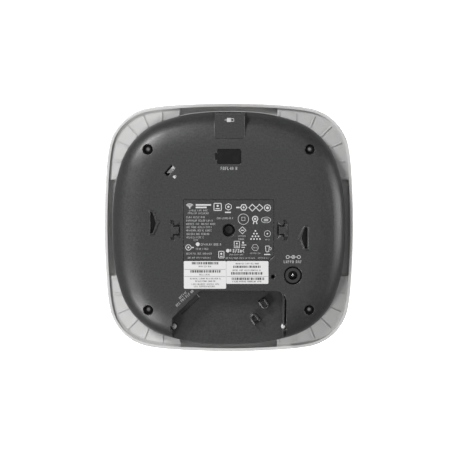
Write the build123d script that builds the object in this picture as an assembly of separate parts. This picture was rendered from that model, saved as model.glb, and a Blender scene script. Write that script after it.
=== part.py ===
from build123d import *
import os
from math import atan2, cos, degrees, hypot, radians, sin, tan

# Ceiling access point: dark rear housing with its sockets, pale front cover, and the boards inside.
# Millimetres. Z = 0 is the flat back that faces the ceiling, +Z points at the ceiling, and the front
# face looks down. The origin is the mouth of the centre hole. +Y is the side with the USB port.

# --- outlines: half width, middle arc radius, corner arc radius, side arc turn, middle arc turn ---
COVER = (81.05, 115.3, 31.3, 4.49, 6.44)
HOUSING = (75.77, 108.4, 43.0, 3.53, 15.35)

# --- levels ---
FRONT_Z = -37.0
RIM_Z = -16.0
LEDGE_Z = -18.0
RIB_TOP = -17.3
GAP_Z = -22.5
BOARD_TOP = -14.2
BOARD_THICK = 1.6
BOARD_LOW = BOARD_TOP - BOARD_THICK
WALL = 2.0

# --- edge rounding: flat-side radius, outer radius, turn between them ---
HOUSING_EDGE = (40.0, 12.0, 20.0)
COVER_EDGE = (51.4, 15.86, 20.0)

# --- fasteners ---
SCREW_SPOT = (52.1, 52.0)
WELL_R = 3.25
SEAT_Z = -7.4
POST_TOP = SEAT_Z - WALL
BOARD_SCREWS = [(-58, 24), (58, 24), (-58, -22), (58, -22)]
SINK_SCREWS = [(-43.5, 44), (43.5, 44), (-12, -22.6), (18, -22.6)]

# --- features of the back ---
CENTRE_HOLE_R = 4.15
CENTRE_HOLE_DEEP = 5.0
CONSOLE = (0.3, 47.6)
CONSOLE_SIZE = (15.4, 9.6)
CONSOLE_TAB = (1.5, 4.1)
COVER_GAP = 0.15
USB_X = 0.7
USB_TOP_WIDE = 19.2
USB_INNER_Y = 59.2
USB_OUTER_Y = 74.3
USB_DRAFT = 4.0
USB_LEAN = 6.0
LOCK_SLOT = (-37.9, 38.5)
LOCK_SLOT_SIZE = (7.4, 3.3)
LOCK_SLOT_TURN = 48.0
RESET = (28.6, -30.2)
RESET_R = 1.1
DC = (41.4, -29.3)
DC_HOLE_R = 5.9
DC_NOSE_R = 5.1
DC_BORE_R = 3.0
DC_PIN_R = 1.0
PRINT_PANEL = (29.0, 19.5)
PANEL_DEEP = 0.15
LABEL_THICK = 0.12
CATCH_X = 35.9
CATCH_HIGH = 1.2
CATCH_TROUGH = 1.2
CATCH_RIM_HIGH = 0.7
CATCH_POCKET_Z = -6.0

# --- cable recess ---
RECESS_FLOOR = -13.5
RECESS_LEFT = -36.6
RECESS_RIGHT = 35.2
RECESS_TOP = -39.7
WALL_HIGH_END = (-18.2, -39.5)
WALL_LOW_END = (-36.6, -57.2)
LIP = 0.75
GROOVE = 1.3
GROOVE_Z = -8.5
EDGE_BREAK = 0.35
PEG = (35.8, -64.0)
PEG_R = 1.75
PEG_TOP = -11.0

# --- network socket, in the slanted wall of the cable recess ---
JACK_WIDE = 16.0
JACK_HIGH = 11.5
JACK_DEEP = 21.0
JACK_SET_BACK = 0.5

# --- status lights ---
LIGHT_X = 4.5
LIGHT_Y = -33.0
LIGHT_R = 1.2

os.makedirs("parts", exist_ok=True)


def save(part, name):
    """Writes one piece, or one group of like pieces, as its own file."""
    part.label = name
    export_step(part, f"parts/{name}.step")
    print(name, len(part.solids()), round(part.volume, 1))


def box(low, high):
    """A block between two corners."""
    size = [b - a for a, b in zip(low, high)]
    return Pos(*low) * Box(*size, align=(Align.MIN, Align.MIN, Align.MIN))


def rod(x, y, low, high, radius):
    """A round bar standing between two levels."""
    return Pos(x, y, low) * Cylinder(radius, high - low, align=(Align.CENTER, Align.CENTER, Align.MIN))


def pad(x, y, low, high, long, wide, corner=0.0, turn=0.0):
    """An upright block with rounded corners, centred on x, y."""
    shape = RectangleRounded(long, wide, corner) if corner else Rectangle(long, wide)
    return Pos(x, y, low) * Rot(0, 0, turn) * extrude(shape, amount=high - low)


def upright(points, low, high):
    """A straight-sided block over an outline of points."""
    return Pos(0, 0, low) * extrude(make_face(Polyline(*points, close=True)), amount=high - low)


def group(parts):
    """Separate like pieces kept together as one set."""
    return Compound(children=[solid for part in parts for solid in part.solids()])


# ------------------------------------------------------------------ rounded-square outline and pillow

def outline(size, inset=0.0):
    """Rounded square of tangent arcs: a slack side arc, a middle arc and a corner arc in each octant."""
    half, middle_radius, corner_radius, side_turn, middle_turn = size
    turn = side_turn + middle_turn
    side_share = cos(radians(side_turn)) - sin(radians(side_turn))
    corner_share = cos(radians(turn)) - sin(radians(turn))
    closing = half - middle_radius * side_share + (middle_radius - corner_radius) * corner_share
    side_radius = closing / (1 - side_share)
    side_x = half - side_radius
    step = side_radius - middle_radius
    middle = (side_x + step * cos(radians(side_turn)), step * sin(radians(side_turn)))
    step = middle_radius - corner_radius
    corner = (middle[0] + step * cos(radians(turn)), middle[1] + step * sin(radians(turn)))
    arcs = [
        CenterArc((side_x, 0), side_radius - inset, 0, side_turn),
        CenterArc(middle, middle_radius - inset, side_turn, middle_turn),
        CenterArc(corner, corner_radius - inset, turn, 90 - 2 * turn),
        CenterArc((middle[1], middle[0]), middle_radius - inset, 90 - turn, middle_turn),
        CenterArc((0, side_x), side_radius - inset, 90 - side_turn, side_turn),
    ]
    return Wire([Rot(0, 0, 90 * quarter) * arc for quarter in range(4) for arc in arcs])


def slab(size, inset, low, high):
    return Pos(0, 0, low) * extrude(Face(outline(size, inset)), amount=high - low)


def pillow(size, top, low, edge, inset=0.0):
    """A block whose top is flat in the middle and rolls over to upright sides on two tangent arcs."""
    flat_radius, edge_radius, turn = edge[0] - inset, edge[1] - inset, edge[2]
    half = size[0] - inset
    run = flat_radius * sin(radians(turn)) + edge_radius * (1 - sin(radians(turn)))
    drop = flat_radius * (1 - cos(radians(turn))) + edge_radius * cos(radians(turn))
    flat_centre = (half - run, top - flat_radius)
    edge_centre = (half - edge_radius, top - drop)
    arcs = [
        CenterArc(flat_centre, flat_radius, 90, -turn),
        CenterArc(edge_centre, edge_radius, 90 - turn, turn - 90),
    ]
    sides = Polyline((half, top - drop), (half, low), (half - run, low), (half - run, top))
    profile = Plane.XZ * make_face([*arcs, *sides.edges()])
    ring = sweep(profile, path=outline(size, inset))
    return slab(size, inset + run, low, top) + ring


# ------------------------------------------------------------------ rear housing

def recess_outline(grow, reach=0.0):
    """Plan of the cable recess; it runs out through the bottom side of the housing."""
    corner = 4.5
    points = [
        (RECESS_LEFT, -84),
        WALL_LOW_END,
        WALL_HIGH_END,
        (RECESS_RIGHT + reach, RECESS_TOP),
        (RECESS_RIGHT + reach, -84),
    ]
    face = make_face(Polyline(*points, close=True))
    tops = face.vertices().sort_by(Axis.Y)
    upper = tops[-3:]
    face = fillet([v for v in upper if v.X > 0], corner + reach)
    face = fillet([v for v in face.vertices() if v.X < RECESS_LEFT + 1 and v.Y > -70], 3.5)
    return offset(face, grow) if grow else face


def recess_block(grow, low, high, reach=0.0):
    return Pos(0, 0, low) * extrude(recess_outline(grow, reach), amount=high - low)


def socket_place():
    """Places a part made with its mouth at x = 0, facing +X, in the slanted wall of the recess."""
    run_x = WALL_HIGH_END[0] - WALL_LOW_END[0]
    run_y = WALL_HIGH_END[1] - WALL_LOW_END[1]
    length = hypot(run_x, run_y)
    out = (run_y / length, -run_x / length)
    x = (WALL_HIGH_END[0] + WALL_LOW_END[0]) / 2 - JACK_SET_BACK * out[0]
    y = (WALL_HIGH_END[1] + WALL_LOW_END[1]) / 2 - JACK_SET_BACK * out[1]
    return Pos(x, y, 0) * Rot(0, 0, degrees(atan2(out[1], out[0])))


def turned_pair(part):
    """A feature and its copy turned half round the centre."""
    return [part, Rot(0, 0, 180) * part]


def usb_tower(shrink, top):
    """Raised block over the USB port, with drafted sides; shrink gives the hollow inside it."""
    low = -16.0
    depth = top - low
    half = USB_TOP_WIDE / 2 - shrink
    inner = USB_INNER_Y + shrink
    outer = USB_OUTER_Y - shrink
    spread = depth * tan(radians(USB_DRAFT))
    lean = depth * tan(radians(USB_LEAN))
    across = [(-half, top), (half, top), (half + spread, low), (-half - spread, low)]
    along = [(inner, top), (outer, top), (outer + lean, low), (inner, low)]
    prism = extrude(Plane.XZ * make_face(Polyline(*across, close=True)), amount=-90)
    wedge = extrude(Plane.YZ * make_face(Polyline(*along, close=True)), amount=20, both=True)
    return Pos(USB_X, 0, 0) * (prism & wedge)


def catch_pocket_points():
    """Three-sided pocket for the bracket's spring latch."""
    return [
        (-50.5, 11.8), (-49.1, 11.8), (-47.3, 5.9), (-47.0, 4.3),
        (-48.3, 0.3), (-49.2, -2.0), (-50.5, -2.0),
    ]


def catch_rim_points():
    """Outer edge of the low rim round the pocket, with its pointed inner corner."""
    return [
        (-51.6, 12.9), (-48.3, 12.7), (-46.2, 6.8), (-44.2, 6.0),
        (-46.4, 0.8), (-48.3, -2.9), (-51.6, -3.1),
    ]


def catch_rim():
    rim = upright(catch_rim_points(), -WALL / 2, CATCH_RIM_HIGH)
    return chamfer(rim.faces().sort_by(Axis.Z)[-1].edges(), 0.3, 0.5)


def catch_lug():
    """T-shaped lug that the ceiling bracket hooks over: a stem with a cross bar at its outer end."""
    stem = box((CATCH_X - 3.6, -2.45, -WALL), (CATCH_X + 0.7, 2.45, CATCH_HIGH))
    bar = box((CATCH_X, -4.4, -WALL), (CATCH_X + 1.7, 4.4, CATCH_HIGH))
    lug = stem + bar
    return chamfer(lug.faces().sort_by(Axis.Z)[-1].edges(), 0.3)


def catch_trough():
    """Shallow trough round the lug, with flared corners that lead the bracket in."""
    low = -CATCH_TROUGH
    trough = box((CATCH_X - 4.6, -3.2, low), (CATCH_X + 0.7, 3.2, 2))
    trough += box((CATCH_X - 0.7, -6.5, low), (CATCH_X + 0.1, 6.5, 2))
    for side in (-1, 1):
        trough += box((CATCH_X - 0.7, side * 5.4 - 1.1, low), (CATCH_X + 1.7, side * 5.4 + 1.1, 2))
        trough += upright([(31.2, side * 5.4), (34.4, side * 2.5), (31.3, side * 2.5)], -0.5, 2)
    return trough


def hook_place(x, y, turn):
    return Pos(x, y, RECESS_FLOOR) * Rot(0, 0, turn)


HOOKS = [hook_place(23.3, -49.3, -55), hook_place(17.0, -58.8, 125)]
HOOK_SIZE = (7.2, 5.6)
HOOK_HIGH = 4.5


def hook_shape(shrink):
    """Plan of a cable hook: flat at one end, half round at the other."""
    long, wide = HOOK_SIZE
    half = wide / 2 - shrink
    end = long / 2 - wide / 2
    straight = Pos((-long / 2 + end) / 2, 0) * Rectangle(end + long / 2, 2 * half)
    return straight + Pos(end, 0) * Circle(half)


def hook():
    """Open-ended loop on the recess floor that a cable tie passes through."""
    wall = 1.4
    inner_half = HOOK_SIZE[1] / 2 - wall
    loop = extrude(hook_shape(0), amount=HOOK_HIGH - 0.4)
    loop += Pos(0, 0, HOOK_HIGH - 0.4) * extrude(hook_shape(0), amount=0.4, taper=62)
    loop -= Pos(0, 0, 0.9) * extrude(hook_shape(wall), amount=HOOK_HIGH)
    loop -= box((-HOOK_SIZE[0] / 2 - 0.4, -inner_half, 0.9), (-2.0, inner_half, 6))
    return loop + box((-1.9, -inner_half, 0), (2.0, inner_half, 2.6))


def housing_body():
    """The moulded rear housing, open towards the front cover."""
    outer = pillow(HOUSING, 0, LEDGE_Z, HOUSING_EDGE)
    tower = usb_tower(0, 0)
    tower = fillet(tower.faces().sort_by(Axis.Z)[-1].edges().sort_by(Axis.Y)[1:], 0.5)
    outer += tower & slab(HOUSING, 0, -16, 0)
    hollow = pillow(HOUSING, -WALL, LEDGE_Z - 1, HOUSING_EDGE, WALL)
    hollow += usb_tower(WALL, -WALL)
    tub = recess_block(WALL, RECESS_FLOOR - WALL, 0) + recess_block(WALL, GROOVE_Z - WALL, 0, LIP + GROOVE)
    inside = [tub]
    for sx in (-1, 1):
        for sy in (-1, 1):
            inside.append(rod(sx * SCREW_SPOT[0], sy * SCREW_SPOT[1], POST_TOP, 0, 4.75))
    inside += [rod(x, y, BOARD_TOP, 0, 3.0) for x, y in BOARD_SCREWS]
    inside.append(rod(0, 0, -CENTRE_HOLE_DEEP - 3 - WALL, 0, CENTRE_HOLE_R + WALL))
    inside.append(pad(*CONSOLE, -3.4, 0, CONSOLE_SIZE[0] + 4.5, CONSOLE_SIZE[1] + 3, 2))
    inside.append(rod(*RESET, -8.5, 0, RESET_R + 1.4))
    inside.append(rod(*DC, -3.6, 0, DC_HOLE_R + 1.6))
    inside += turned_pair(upright(catch_rim_points(), CATCH_POCKET_Z - 1.5, 0))
    lock_frame = pad(*LOCK_SLOT, -5.2, 0, 15.2, 10.8, 0, LOCK_SLOT_TURN)
    lock_frame -= pad(*LOCK_SLOT, -6, -WALL, 12.4, 8.0, 0, LOCK_SLOT_TURN)
    inside.append(lock_frame)
    body = outer - hollow
    for piece in inside:
        body += piece & outer
    for trough in turned_pair(catch_trough()):
        body -= trough
    for raised in turned_pair(catch_lug()) + turned_pair(catch_rim()):
        body += raised
    return body


def housing_cuts():
    """Every hole, pocket and groove cut into the housing."""
    cuts = [recess_block(0, RECESS_FLOOR, 4)]
    cuts.append(Pos(0, 0, -EDGE_BREAK) * extrude(recess_outline(0), amount=2 * EDGE_BREAK, taper=-45))
    groove = recess_block(0, GROOVE_Z, 4, LIP + GROOVE) - recess_block(0, GROOVE_Z, 4, LIP)
    cuts.append(groove & box((27, -84, -20), (60, RECESS_TOP - 0.2, 6)))
    for side in (-1, 1):
        cuts.append(rod(side * PEG[0], PEG[1], -24, 4, PEG_R + 0.2))
    for x in (-12.9, 23.0):
        cuts.append(box((x - 0.6, RECESS_TOP - 1, -4), (x + 0.6, RECESS_TOP + 0.7, 4)))
    for sx in (-1, 1):
        for sy in (-1, 1):
            spot = (sx * SCREW_SPOT[0], sy * SCREW_SPOT[1])
            cuts.append(rod(*spot, SEAT_Z, 4, WELL_R))
            cuts.append(rod(*spot, POST_TOP - 1, 0, 1.7))
    cuts += [rod(x, y, BOARD_TOP - 1, -7.5, 1.3) for x, y in BOARD_SCREWS]
    cuts.append(rod(0, 0, -CENTRE_HOLE_DEEP, 4, CENTRE_HOLE_R))
    pillar = rod(0, 0, -CENTRE_HOLE_DEEP - 4, 0, 2.7)
    cuts.append(rod(0, 0, -CENTRE_HOLE_DEEP - 3, -CENTRE_HOLE_DEEP + 0.1, CENTRE_HOLE_R - 0.2) - pillar)
    cuts.append(pad(*CONSOLE, -1.6, 4, *CONSOLE_SIZE, 1.0))
    tab_x = CONSOLE[0] - CONSOLE_SIZE[0] / 2 - CONSOLE_TAB[0] / 2
    cuts.append(pad(tab_x + 0.5, CONSOLE[1], -1.6, 4, CONSOLE_TAB[0] + 1, CONSOLE_TAB[1]))
    cuts.append(pad(*CONSOLE, -6, 4, 12.8, 7.0, 0.8))
    cuts.append(pad(*LOCK_SLOT, -WALL - 0.1, 4, *LOCK_SLOT_SIZE, 0.6, LOCK_SLOT_TURN))
    cuts.append(rod(*RESET, -12, 4, RESET_R))
    cuts.append(Pos(*RESET, -0.4) * Cone(RESET_R, RESET_R + 0.5, 0.8))
    cuts.append(rod(*DC, -6, 4, DC_HOLE_R))
    chamfered = [
        (-PRINT_PANEL[0], PRINT_PANEL[1]), PRINT_PANEL, (PRINT_PANEL[0], -PRINT_PANEL[1] + 3),
        (PRINT_PANEL[0] - 3, -PRINT_PANEL[1]), (-PRINT_PANEL[0], -PRINT_PANEL[1]),
    ]
    cuts.append(upright(chamfered, -PANEL_DEEP, 4))
    panel = make_face(Polyline(*chamfered, close=True))
    cuts.append(Pos(0, 0, -0.45) * extrude(offset(panel, 0.35) - offset(panel, -0.1), amount=1))
    cuts += turned_pair(upright(catch_pocket_points(), CATCH_POCKET_Z, 4))
    cuts.append(box((USB_X - 6.9, 60, -14.4), (USB_X + 6.9, 84, -8.2)))
    half = JACK_WIDE / 2 + 0.25
    mouth = box((-4, -half, BOARD_TOP - 0.1), (4, half, BOARD_TOP + JACK_HIGH + 0.25))
    cuts.append(socket_place() * mouth)
    for place in HOOKS:
        cuts.append(place * box((-HOOK_SIZE[0] / 2 - 0.1, -2.4, -4), (-HOOK_SIZE[0] / 2 + 1.5, 2.4, 0.2)))
    return cuts


def rear_housing():
    body = housing_body()
    for cut in housing_cuts():
        body -= cut
    for place in HOOKS:
        body += place * hook()
    return body


# ------------------------------------------------------------------ front cover

def front_cover():
    """Pale front cover: a dished shell, a ledge that the housing sits on, ribs in the corners, posts."""
    flip = Pos(0, 0, FRONT_Z) * Rot(180, 0, 0)
    deep = RIM_Z - FRONT_Z
    shell = flip * (pillow(COVER, 0, -deep, COVER_EDGE) - pillow(COVER, -WALL, -deep - 1, COVER_EDGE, WALL))
    rim = shell.faces().sort_by(Axis.Z)[-1]
    shell = fillet(rim.outer_wire().edges(), 0.8)
    ledge = slab(COVER, 1.0, LEDGE_Z - 1.5, LEDGE_Z) - slab(HOUSING, 3.6, LEDGE_Z - 2, LEDGE_Z + 1)
    ring = slab(COVER, 4.0, LEDGE_Z - 0.5, RIB_TOP) - slab(HOUSING, -0.35, LEDGE_Z - 1, RIM_Z + 1)
    sides = box((-90, -33, GAP_Z - 2), (90, 33, 0)) + box((-33, -90, GAP_Z - 2), (33, 90, 0))
    deeper = slab(COVER, 1.4, GAP_Z - 1.5, LEDGE_Z) - slab(HOUSING, 3.6, GAP_Z - 2, LEDGE_Z + 1)
    gap = slab(COVER, WALL - 0.2, GAP_Z, LEDGE_Z + 0.5) - slab(HOUSING, -0.3, GAP_Z - 1, LEDGE_Z + 1)
    ends = box((-90, -31.5, GAP_Z - 1), (90, 31.5, 0)) + box((-31.5, -90, GAP_Z - 1), (31.5, 90, 0))
    cover = shell + ledge + (deeper & sides) - (gap & ends)
    thick = 0.9
    corner = 43.5
    for quarter in range(4):
        blades = []
        for turn in (0, 22.5, 45, 67.5, 90):
            blade = box((0, -thick / 2, LEDGE_Z - 0.5), (60, thick / 2, RIB_TOP))
            blades.append(Pos(corner, corner, 0) * Rot(0, 0, turn) * blade)
        extra = box((60, corner - 11.4, LEDGE_Z - 0.5), (90, corner - 11.4 + thick, RIB_TOP))
        blades.append(extra)
        blades.append(mirror(extra, about=Plane((0, 0, 0), z_dir=(1, -1, 0))))
        for blade in blades:
            cover += Rot(0, 0, 90 * quarter) * blade & ring
    inner_front = FRONT_Z + WALL - 0.5
    posts = []
    for sx in (-1, 1):
        for sy in (-1, 1):
            posts.append(rod(sx * SCREW_SPOT[0], sy * SCREW_SPOT[1], inner_front, POST_TOP, 3.6))
        peg = rod(sx * PEG[0], PEG[1], inner_front, PEG_TOP, PEG_R)
        posts.append(fillet(peg.faces().sort_by(Axis.Z)[-1].edges(), 1.3))
        posts.append(rod(sx * PEG[0], PEG[1], inner_front, -17.5, 3.0))
    hull = flip * pillow(COVER, 0, -60, COVER_EDGE)
    for post in posts:
        cover += post & hull
    for sx in (-1, 1):
        for sy in (-1, 1):
            cover -= rod(sx * SCREW_SPOT[0], sy * SCREW_SPOT[1], -22, 0, 1.55)
        cover -= rod(sx * LIGHT_X, LIGHT_Y, FRONT_Z - 1, FRONT_Z + WALL + 1, LIGHT_R + 0.1)
    return cover


# ------------------------------------------------------------------ screws

def screw(x, y, seat, head_r, head_high, shank_r, long, up=True):
    """Pan-head screw with a six-lobed drive; up means that the head is on the ceiling side."""
    head = rod(0, 0, 0, head_high, head_r)
    head = fillet(head.faces().sort_by(Axis.Z)[-1].edges(), head_high * 0.45)
    shank = rod(0, 0, -long, 0, shank_r)
    shank = chamfer(shank.faces().sort_by(Axis.Z)[0].edges(), shank_r * 0.4)
    body = head + shank
    drive_r = head_r * 0.46
    drive = rod(0, 0, head_high * 0.35, head_high + 1, drive_r * 0.72)
    for lobe in range(6):
        angle = radians(60 * lobe)
        drive += rod(drive_r * 0.78 * cos(angle), drive_r * 0.78 * sin(angle), head_high * 0.35,
                     head_high + 1, drive_r * 0.25)
    body -= drive
    if not up:
        body = Rot(180, 0, 0) * body
    return Pos(x, y, seat) * body


def housing_screws():
    return group([screw(sx * SCREW_SPOT[0], sy * SCREW_SPOT[1], SEAT_Z, 2.5, 2.0, 1.5, 10)
                  for sx in (-1, 1) for sy in (-1, 1)])


def board_screws():
    return group([screw(x, y, BOARD_LOW, 2.3, 1.6, 1.25, 6.5, up=False) for x, y in BOARD_SCREWS])


# ------------------------------------------------------------------ main board and heat sink

SINK_TOP = -20.0
SINK_PLATE = 2.2
SINK_FIN = 6.0
SINK_LOW, SINK_HIGH = (-48.0, -26.0), (48.0, 48.0)


def main_board():
    board = slab(HOUSING, 6.5, BOARD_LOW, BOARD_TOP)
    board += box((USB_X - 8, 60, BOARD_LOW), (USB_X + 8, 73.2, BOARD_TOP))
    board -= recess_block(WALL + 0.5, BOARD_LOW - 1, BOARD_TOP + 1, LIP + GROOVE)
    board += socket_place() * box((-JACK_DEEP - 3, -10, BOARD_LOW), (-WALL - 2.6, 10, BOARD_TOP))
    for sx in (-1, 1):
        for sy in (-1, 1):
            board -= rod(sx * SCREW_SPOT[0], sy * SCREW_SPOT[1], BOARD_LOW - 1, BOARD_TOP + 1, 5.4)
    for x, y in BOARD_SCREWS + SINK_SCREWS:
        board -= rod(x, y, BOARD_LOW - 1, BOARD_TOP + 1, 1.4)
    return board


def heat_sink():
    """Cast aluminium plate with fins towards the front and four feet on the board."""
    low, high = SINK_LOW, SINK_HIGH
    centre = ((low[0] + high[0]) / 2, (low[1] + high[1]) / 2)
    size = (high[0] - low[0], high[1] - low[1])
    sink = pad(*centre, SINK_TOP - SINK_PLATE, SINK_TOP, *size, 5)
    count = 12
    pitch = (size[0] - 12) / (count - 1)
    for i in range(count):
        x = low[0] + 6 + i * pitch
        fin = box((x - 0.8, low[1] + 6, SINK_TOP - SINK_PLATE - SINK_FIN), (x + 0.8, high[1] - 6, SINK_TOP - 1))
        sink += fin
    for x, y in SINK_SCREWS:
        sink += rod(x, y, SINK_TOP - 1, BOARD_LOW, 2.8)
    for x, y in SINK_SCREWS:
        sink -= rod(x, y, SINK_TOP - 2, BOARD_LOW + 1, 1.05)
    return sink


def heat_sink_screws():
    return group([screw(x, y, BOARD_TOP, 2.0, 1.4, 1.0, 5.0) for x, y in SINK_SCREWS])


PROCESSOR = (6.0, 12.0)
SHIELDS = [(-26.5, 26.5), (-26.5, -5.0)]
SHIELD_SIZE = (34.0, 28.0)
SHIELD_HIGH = 2.6
MEMORY = [(30.0, 20.0), (30.0, 4.0)]


def processor():
    lid = pad(*PROCESSOR, BOARD_LOW - 1.7, BOARD_LOW - 0.9, 15, 15, 1)
    return pad(*PROCESSOR, BOARD_LOW - 0.9, BOARD_LOW, 19, 19) + lid


def radio_chips():
    return group([pad(x, y, BOARD_LOW - 0.9, BOARD_LOW, 11, 11) for x, y in SHIELDS])


def memory_chips():
    return group([pad(x, y, BOARD_LOW - 1.1, BOARD_LOW, 9, 13) for x, y in MEMORY])


def radio_shields():
    """Stamped steel cans over the radios, with a row of vent holes."""
    cans = []
    for x, y in SHIELDS:
        can = pad(x, y, BOARD_LOW - SHIELD_HIGH, BOARD_LOW, *SHIELD_SIZE, 1.2)
        can -= pad(x, y, BOARD_LOW - SHIELD_HIGH + 0.3, BOARD_LOW + 1, SHIELD_SIZE[0] - 0.6,
                   SHIELD_SIZE[1] - 0.6, 0.9)
        for i in range(5):
            can -= rod(x - 12 + 6 * i, y + 11, BOARD_LOW - SHIELD_HIGH - 1, BOARD_LOW - 2, 0.8)
        cans.append(can)
    return group(cans)


def thermal_pads():
    """Soft pads that fill the gap between the chips or shields and the heat sink."""
    pads = [pad(x, y, SINK_TOP, BOARD_LOW - SHIELD_HIGH, 16, 14) for x, y in SHIELDS]
    pads.append(pad(*PROCESSOR, SINK_TOP, BOARD_LOW - 1.7, 15, 15))
    return group(pads)


def antenna(x, y, long, wide, turn):
    """Stamped inverted-F antenna: a flat arm held off the board by a ground leg and a feed leg."""
    thick = 0.5
    arm_z = BOARD_LOW - 7.5
    arm = box((-long / 2, -wide / 2, arm_z), (long / 2, wide / 2, arm_z + thick))
    arm -= box((-long / 2 + 4, wide / 2 - 3, arm_z - 1), (long / 2 - 5, wide / 2 - 2, arm_z + 1))
    ground = box((-long / 2, -wide / 2, arm_z), (-long / 2 + thick, wide / 2, BOARD_LOW))
    feed = box((-long / 2 + 4, -wide / 2, arm_z), (-long / 2 + 5.5, -wide / 2 + thick, BOARD_LOW))
    support = box((long / 2 - 2, -wide / 2, arm_z), (long / 2, -wide / 2 + thick, BOARD_LOW))
    return Pos(x, y, 0) * Rot(0, 0, turn) * (arm + ground + feed + support)


def ethernet_transformer():
    body = pad(-23, -23, BOARD_TOP, BOARD_TOP + 5.2, 17, 11.5)
    body = chamfer(body.edges().filter_by(GeomType.LINE).group_by(Axis.Z)[-1], 0.5)
    for i in range(8):
        for side in (-1, 1):
            x = -23 - 7.5 + i * 15 / 7
            body += pad(x, -23 + side * 5.8, BOARD_TOP, BOARD_TOP + 0.5, 0.7, 1.2)
    return body


def power_capacitors():
    cans = []
    for x, y in [(55, -6), (55, 6), (22, 38)]:
        can = rod(x, y, BOARD_TOP + 0.8, BOARD_TOP + 5.8, 3.9)
        can = fillet(can.faces().sort_by(Axis.Z)[-1].edges(), 0.5)
        can += pad(x, y, BOARD_TOP, BOARD_TOP + 0.8, 8.2, 8.2)
        cans.append(can)
    return group(cans)


def power_inductors():
    coils = []
    for x, y in [(40, 8), (40, -14)]:
        coil = pad(x, y, BOARD_TOP, BOARD_TOP + 4, 7.2, 7.2, 0.8)
        coils.append(fillet(coil.faces().sort_by(Axis.Z)[-1].edges(), 0.4))
    return group(coils)


def crystal():
    can = pad(6, -6, BOARD_LOW - 1.1, BOARD_LOW, 5, 3.2, 0.5)
    return fillet(can.faces().sort_by(Axis.Z)[0].edges(), 0.2)


def status_leds():
    lights = []
    for side in (-1, 1):
        light = pad(side * LIGHT_X, LIGHT_Y, BOARD_LOW - 0.4, BOARD_LOW, 1.6, 1.2)
        lights.append(light + pad(side * LIGHT_X, LIGHT_Y, BOARD_LOW - 0.8, BOARD_LOW - 0.4, 1.1, 1.1))
    return group(lights)


def light_pipe():
    """Clear rods from the lights on the board to two windows in the front cover, joined by a web."""
    pipe = pad(0, LIGHT_Y, -26, -24.4, 2 * LIGHT_X + 3, 3.4, 1.2)
    for side in (-1, 1):
        pipe += rod(side * LIGHT_X, LIGHT_Y, FRONT_Z, BOARD_LOW - 1.2, LIGHT_R)
    return pipe


# ------------------------------------------------------------------ network socket

def in_socket(part):
    return socket_place() * Pos(0, 0, BOARD_TOP) * part


MOUTH_WIDE = 12.0
MOUTH_LOW = 1.6
MOUTH_HIGH = 8.4
KEY_WIDE = 6.2
KEY_HIGH = 10.2


def socket_mouth(length):
    """Space that a network plug fills: wide body with a narrower latch channel above it."""
    space = box((-length, -MOUTH_WIDE / 2, MOUTH_LOW), (2, MOUTH_WIDE / 2, MOUTH_HIGH))
    return space + box((-length, -KEY_WIDE / 2, MOUTH_HIGH - 0.1), (2, KEY_WIDE / 2, KEY_HIGH))


def ethernet_jack_shell():
    """Folded plated-steel can around the network socket, with spring tongues at its sides."""
    half = JACK_WIDE / 2
    wall = 0.3
    can = box((-JACK_DEEP, -half, 0), (0, half, JACK_HIGH))
    can -= box((-JACK_DEEP + wall, -half + wall, -1), (-wall, half - wall, JACK_HIGH - wall))
    can -= socket_mouth(1.0)
    for side in (-1, 1):
        slot = box((-9, side * half - 1, 3.0), (-4, side * half + 1, 3.6))
        can -= slot + Pos(0, 0, 3) * slot
    return in_socket(can)


def ethernet_jack_insert():
    half = JACK_WIDE / 2 - 0.35
    body = box((-JACK_DEEP + 0.35, -half, 0), (-0.35, half, JACK_HIGH - 0.35))
    body -= socket_mouth(14.5)
    for i in range(8):
        y = (i - 3.5) * 1.02
        body -= box((-14.4, y - 0.3, 0.5), (-3.0, y + 0.3, MOUTH_LOW + 0.5))
    return in_socket(body)


def ethernet_contacts():
    """Eight gold-plated wires that spring up into the mouth."""
    wires = []
    for i in range(8):
        y = (i - 3.5) * 1.02
        points = [(-14.0, 0.7), (-4.0, 0.7), (-3.4, 1.2), (-11.5, 4.6), (-11.7, 4.1), (-4.8, 1.2), (-14.0, 1.2)]
        face = Plane.XZ * make_face(Polyline(*points, close=True))
        wires.append(Pos(0, y + 0.2, 0) * extrude(face, amount=0.4))
    return in_socket(group(wires))


# ------------------------------------------------------------------ USB port

USB_FRONT = 75.0
USB_SHELL = (13.1, 5.7)


def usb_port_shell():
    """Folded steel sleeve, open to the side of the unit."""
    half = USB_SHELL[0] / 2
    high = USB_SHELL[1]
    shell = box((-half, -14.2, 0), (half, 0, high)) - box((-half + 0.3, -14.0, 0.3), (half - 0.3, 1, high - 0.3))
    for side in (-1, 1):
        shell -= box((side * 3.2 - 0.9, -6, high - 1), (side * 3.2 + 0.9, -2.5, high + 1))
    return Pos(USB_X, USB_FRONT, BOARD_TOP) * shell


def usb_port_tongue():
    """Plastic back block with the tongue that carries the contacts."""
    half = USB_SHELL[0] / 2 - 0.32
    block = box((-half, -13.9, 0.32), (half, -9.4, USB_SHELL[1] - 0.32))
    block += box((-5.2, -9.6, 3.1), (5.2, -0.9, 4.8))
    return Pos(USB_X, USB_FRONT, BOARD_TOP) * block


def usb_contacts():
    strips = []
    for y in (-3.5, -1.0, 1.0, 3.5):
        strips.append(box((y - 0.5, -9.2, 2.85), (y + 0.5, -1.6, 3.1)))
    return Pos(USB_X, USB_FRONT, BOARD_TOP) * group(strips)


# ------------------------------------------------------------------ console port and its rubber cover

PORT_HIGH = 8.0


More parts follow.
